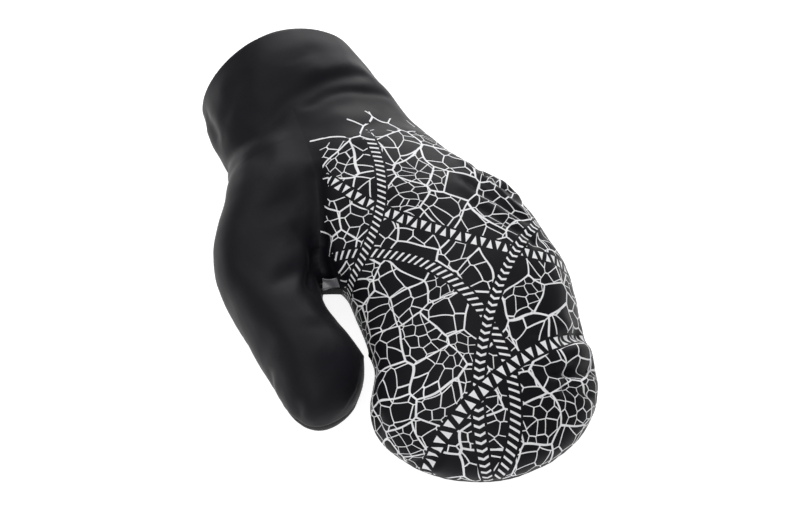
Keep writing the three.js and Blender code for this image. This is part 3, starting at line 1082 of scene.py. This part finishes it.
def print_mask(tree):
    """1 on the film and 0 on bare cloth."""
    where = node(tree, "UVMap", uv_map="flat_cloth").outputs["UV"]
    bend = node(tree, "TexNoise", {"Vector": where, "Scale": NET_BEND_SCALE, "Detail": 1.0},
                noise_dimensions="2D")
    bend = node(tree, "VectorMath", {0: bend.outputs["Color"], 1: (0.5, 0.5, 0.5)},
                operation="SUBTRACT")
    bend = node(tree, "VectorMath", {0: bend.outputs[0], "Scale": NET_BEND}, operation="SCALE")
    bent = node(tree, "VectorMath", {0: where, 1: bend.outputs[0]}, operation="ADD").outputs[0]
    fade = fade_out(tree, where)
    lines = cracks(tree, bent, fade)
    marks_here = maths(tree, "GREATER_THAN", fade, BANDS_FROM)
    for arc in BANDS:
        clear, marks = band(tree, where, *arc)
        bare = maths(tree, "SUBTRACT", 1, maths(tree, "MULTIPLY", clear, marks_here))
        marks = maths(tree, "MULTIPLY", marks, marks_here)
        lines = maths(tree, "MAXIMUM", maths(tree, "MULTIPLY", lines, bare), marks)
    return lines


def printed_material():
    made, tree = new_material("printed_stretch_shell")
    colour, rough, normal = shell_parts(tree)
    colour = blend_colour(tree, PRINTED_DEPTH, colour, DEEP_BLACK)
    mask = print_mask(tree)
    film = blend_colour(tree, grain(tree, 5, detail=3), *FILM_SHADES)
    colour = blend_colour(tree, mask, colour, film)
    normal = bump(tree, mask, FILM_HEIGHT, after=normal)
    return finish(made, Base_Color=colour, Roughness=rough, Normal=normal, **SHELL_GLOSS)


printed_shell = printed_material()

# %% [markdown]
# The palm is a brushed synthetic suede: dull, with a short nap that lies one way in
# some places and the other way elsewhere. The lining is a soft fleece. The web is a
# ribbed tape, and the satin is a grey weave whose long floats catch the light.

# %% Suede, fleece, tape and satin
SUEDE_SHADES = (0.006, 0.006, 0.007, 1), (0.016, 0.016, 0.018, 1)
FLEECE_SHADES = (0.006, 0.006, 0.007, 1), (0.026, 0.026, 0.029, 1)
TAPE_SHADES = (0.004, 0.004, 0.005, 1), (0.014, 0.014, 0.016, 1)
SATIN_SHADES = (0.07, 0.07, 0.08, 1), (0.20, 0.20, 0.215, 1)


def palm_material():
    made, tree = new_material("brushed_suede")
    nap = grain(tree, 14, detail=4, roughness=0.6)
    colour = blend_colour(tree, nap, *SUEDE_SHADES)
    normal = bump(tree, grain(tree, 0.7, detail=4, roughness=0.7), 0.16)
    rough = maths(tree, "MULTIPLY_ADD", nap, 0.15, 0.8)
    return finish(made, Base_Color=colour, Roughness=rough, Normal=normal,
                  Specular_IOR_Level=0.15, Sheen_Weight=0.08, Sheen_Roughness=0.6)


def fleece_material():
    made, tree = new_material("fleece_lining")
    tufts = grain(tree, 2.2, detail=4, roughness=0.7)
    colour = blend_colour(tree, tufts, *FLEECE_SHADES)
    normal = bump(tree, tufts, 0.6)
    rough = maths(tree, "MULTIPLY_ADD", tufts, 0.1, 0.85)
    return finish(made, Base_Color=colour, Roughness=rough, Normal=normal,
                  Specular_IOR_Level=0.1, Sheen_Weight=0.12, Sheen_Roughness=0.7)


def tape_material():
    made, tree = new_material("ribbed_tape")
    where = node(tree, "TexCoord").outputs["Object"]
    ribs = node(tree, "TexWave", {"Vector": where, "Scale": 260.0, "Distortion": 0.4},
                bands_direction="Z").outputs["Fac"]
    colour = blend_colour(tree, ribs, *TAPE_SHADES)
    normal = bump(tree, ribs, 0.12)
    rough = maths(tree, "MULTIPLY_ADD", grain(tree, 1.5), 0.2, 0.6)
    return finish(made, Base_Color=colour, Roughness=rough, Normal=normal, Specular_IOR_Level=0.3)


def satin_material():
    made, tree = new_material("grey_satin")
    where = node(tree, "TexCoord").outputs["Object"]
    floats = node(tree, "TexWave", {"Vector": where, "Scale": 420.0, "Distortion": 1.0,
                                    "Detail": 2.0}, bands_direction="X").outputs["Fac"]
    shade = grain(tree, 4)
    colour = blend_colour(tree, shade, *SATIN_SHADES)
    normal = bump(tree, floats, 0.03)
    rough = maths(tree, "MULTIPLY_ADD", shade, 0.15, 0.22)
    return finish(made, Base_Color=colour, Roughness=rough, Normal=normal, Specular_IOR_Level=0.8)


suede = palm_material()
fleece = fleece_material()
tape = tape_material()
grey_satin = satin_material()

# %% [markdown]
# Each panel gets its wall last: shell, padding and lining together are a little over
# 2 mm. Solidify grows it inwards, so the outside stays where it is, and gives the
# inner side the lining's material. Its new points come after the old ones, in the same
# order, and are set along the direction kept from the whole skin, so the lining closes
# at the seams. The corner between outside and cut edge is marked sharp, so that the
# cloth on both sides of a seam is shaded as one surface.

# %% Walls and materials
WALL = 2.2
SHARP_FROM = math.radians(50)
OUTSIDES = {
    "cuff": black_shell, "back_panel": printed_shell, "palm_panel": suede,
    "thumb_back": black_shell, "thumb_palm": suede,
}
for name, panel in panels.items():
    panel.data.materials.append(OUTSIDES[name])
    panel.data.materials.append(fleece)
    for polygon in panel.data.polygons:
        polygon.use_smooth = True
    wall = panel.modifiers.new("wall", "SOLIDIFY")
    wall.thickness = WALL * MM
    wall.offset = -1
    wall.material_offset = 1
    wall.material_offset_rim = 0 if name == "cuff" else 1
    outside = len(panel.data.vertices)
    apply_modifiers(panel)
    points = points_of(panel.data)
    points[outside:] = points[:outside] - outward_of(panel.data)[:outside] * WALL * MM
    move_points(panel.data, points)
    panel.data.set_sharp_from_angle(angle=SHARP_FROM)
    print(name, len(panel.data.polygons), "faces with its wall")
web.data.materials.append(tape)
satin.data.materials.append(grey_satin)

# %% [markdown]
# Every sewn piece stands for one imported solid and rides on the one body.

# %% Tie the pieces to the frame
panels["crotch_band"] = web
panels["crotch_insert"] = satin
for solid, piece in panels.items():
    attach(piece, "root")
    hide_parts(solid)
print("pieces:", len(panels))

# %% [markdown]
# A plain pale light table and wide soft lamps, as in a studio. The table glows a
# little, which keeps the shadows faint and lightens the slanting edges of the cloth.
# The strongest lamp stands behind the cuff on the little finger's side, so the black
# cloth gets its sheen where it turns away over the wrist.

# %% Table and light
TABLE_HALF = 30.0
TABLE_SHADES = (0.46, 0.46, 0.46, 1), (0.49, 0.49, 0.49, 1)
TABLE_GLOW, ROOM_GLOW = 0.86, 0.32
WHITE = (1, 1, 1, 1)
# Name, place and size in metres, and watts
LAMPS = [
    ("wrist_side", (0.6, 1.15, 0.65), 1.2, 21),
    ("overhead", (-0.2, 0.4, 1.6), 1.4, 9),
    ("thumb_side", (-1.2, 0.3, 0.6), 0.8, 1.5),
    ("front", (-0.5, -1.0, 1.1), 1.2, 10),
]

table = bmesh.new()
bmesh.ops.create_grid(table, x_segments=1, y_segments=1, size=TABLE_HALF)
table = new_object("table_top", table)
pale, tree = new_material("pale_table")
paper = blend_colour(tree, grain(tree, 40), *TABLE_SHADES)
finish(pale, Base_Color=paper, Roughness=0.8, Specular_IOR_Level=0.1,
       Emission_Color=WHITE, Emission_Strength=TABLE_GLOW)
table.data.materials.append(pale)


def lamp(name, position, size, watts):
    """A square soft lamp that points at the middle of the mitten."""
    made = bpy.data.objects.new(name, bpy.data.lights.new(name, "AREA"))
    made.data.size = size
    made.data.energy = watts
    made.location = position
    aim = Vector((0, 0, 0.03)) - Vector(position)
    made.rotation_euler = aim.to_track_quat("-Z", "Y").to_euler()
    bpy.context.scene.collection.objects.link(made)


for row in LAMPS:
    lamp(*row)
world = bpy.data.worlds.new("pale_room")
bpy.context.scene.world = world
world.use_nodes = True
room = world.node_tree.nodes["Background"].inputs
room["Color"].default_value = WHITE
room["Strength"].default_value = ROOM_GLOW
bpy.context.scene.view_settings.view_transform = "Standard"
print("lamps:", len(LAMPS))
